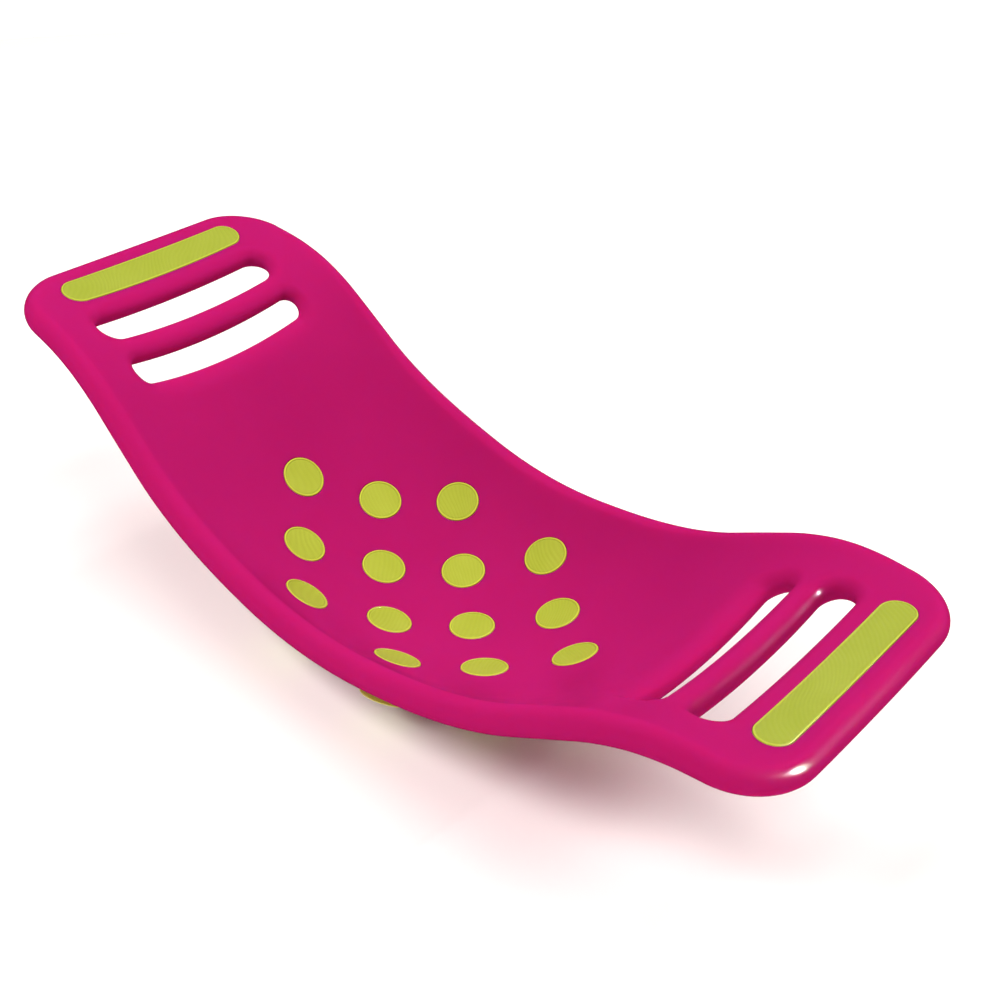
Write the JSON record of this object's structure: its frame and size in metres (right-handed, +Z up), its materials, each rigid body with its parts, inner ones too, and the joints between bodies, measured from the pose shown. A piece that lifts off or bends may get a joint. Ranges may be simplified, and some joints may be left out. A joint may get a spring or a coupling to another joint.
{
  "type": "balance board",
  "caption": "Dished rocking balance board with grip discs, suction cups beneath, finger slots and grip strips at both ends.",
  "frame": {"origin": "on the floor under the middle of the board, at the lowest edge of the suction cup lips, board level", "axes": "+X along the length, +Y across the board, +Z up"},
  "size_m": [0.716, 0.2892, 0.1913],
  "materials": {
    "shell": "satin",
    "grip": "matte",
    "cup": "satin"
  },
  "bodies": {
    "board": {"board_shell": "shell", "end_grip_strip_right": "grip", "end_grip_strip_left": "grip", "grip_disc_01": "grip", "grip_disc_02": "grip", "grip_disc_03": "grip", "grip_disc_04": "grip", "grip_disc_05": "grip", "grip_disc_06": "grip", "grip_disc_07": "grip", "grip_disc_08": "grip", "grip_disc_09": "grip", "grip_disc_10": "grip", "grip_disc_11": "grip", "grip_disc_12": "grip", "grip_disc_13": "grip", "grip_disc_14": "grip"},
    "cup_01": {"suction_cup_01": "cup"},
    "cup_02": {"suction_cup_02": "cup"},
    "cup_03": {"suction_cup_03": "cup"},
    "cup_04": {"suction_cup_04": "cup"},
    "cup_05": {"suction_cup_05": "cup"},
    "cup_06": {"suction_cup_06": "cup"},
    "cup_07": {"suction_cup_07": "cup"},
    "cup_08": {"suction_cup_08": "cup"},
    "cup_09": {"suction_cup_09": "cup"},
    "cup_10": {"suction_cup_10": "cup"},
    "cup_11": {"suction_cup_11": "cup"},
    "cup_12": {"suction_cup_12": "cup"},
    "cup_13": {"suction_cup_13": "cup"},
    "cup_14": {"suction_cup_14": "cup"}
  },
  "joints": [
    {"name": "cup_press_01", "type": "slide", "parent": "board", "child": "cup_01", "axis": [0.5301, 0, 0.8479], "range_m": [0, 0.004], "stiffness_N_per_m": 8000, "deforming": ["suction_cup_01"]},
    {"name": "cup_press_02", "type": "slide", "parent": "board", "child": "cup_02", "axis": [0.3383, 0.2176, 0.9155], "range_m": [0, 0.004], "stiffness_N_per_m": 8000, "deforming": ["suction_cup_02"]},
    {"name": "cup_press_03", "type": "slide", "parent": "board", "child": "cup_03", "axis": [0.3383, -0.2176, 0.9155], "range_m": [0, 0.004], "stiffness_N_per_m": 8000, "deforming": ["suction_cup_03"]},
    {"name": "cup_press_04", "type": "slide", "parent": "board", "child": "cup_04", "axis": [0.1558, 0.4717, 0.8679], "range_m": [0, 0.004], "stiffness_N_per_m": 8000, "deforming": ["suction_cup_04"]},
    {"name": "cup_press_05", "type": "slide", "parent": "board", "child": "cup_05", "axis": [0.1767, 0, 0.9843], "range_m": [0, 0.004], "stiffness_N_per_m": 8000, "deforming": ["suction_cup_05"]},
    {"name": "cup_press_06", "type": "slide", "parent": "board", "child": "cup_06", "axis": [0.1558, -0.4717, 0.8679], "range_m": [0, 0.004], "stiffness_N_per_m": 8000, "deforming": ["suction_cup_06"]},
    {"name": "cup_press_07", "type": "slide", "parent": "board", "child": "cup_07", "axis": [0, 0.2388, 0.9711], "range_m": [0, 0.004], "stiffness_N_per_m": 8000, "deforming": ["suction_cup_07"]},
    {"name": "cup_press_08", "type": "slide", "parent": "board", "child": "cup_08", "axis": [0, -0.2388, 0.9711], "range_m": [0, 0.004], "stiffness_N_per_m": 8000, "deforming": ["suction_cup_08"]},
    {"name": "cup_press_09", "type": "slide", "parent": "board", "child": "cup_09", "axis": [-0.1558, 0.4717, 0.8679], "range_m": [0, 0.004], "stiffness_N_per_m": 8000, "deforming": ["suction_cup_09"]},
    {"name": "cup_press_10", "type": "slide", "parent": "board", "child": "cup_10", "axis": [-0.1767, 0, 0.9843], "range_m": [0, 0.004], "stiffness_N_per_m": 8000, "deforming": ["suction_cup_10"]},
    {"name": "cup_press_11", "type": "slide", "parent": "board", "child": "cup_11", "axis": [-0.1558, -0.4717, 0.8679], "range_m": [0, 0.004], "stiffness_N_per_m": 8000, "deforming": ["suction_cup_11"]},
    {"name": "cup_press_12", "type": "slide", "parent": "board", "child": "cup_12", "axis": [-0.3383, 0.2176, 0.9155], "range_m": [0, 0.004], "stiffness_N_per_m": 8000, "deforming": ["suction_cup_12"]},
    {"name": "cup_press_13", "type": "slide", "parent": "board", "child": "cup_13", "axis": [-0.3383, -0.2176, 0.9155], "range_m": [0, 0.004], "stiffness_N_per_m": 8000, "deforming": ["suction_cup_13"]},
    {"name": "cup_press_14", "type": "slide", "parent": "board", "child": "cup_14", "axis": [-0.5301, 0, 0.8479], "range_m": [0, 0.004], "stiffness_N_per_m": 8000, "deforming": ["suction_cup_14"]}
  ]
}
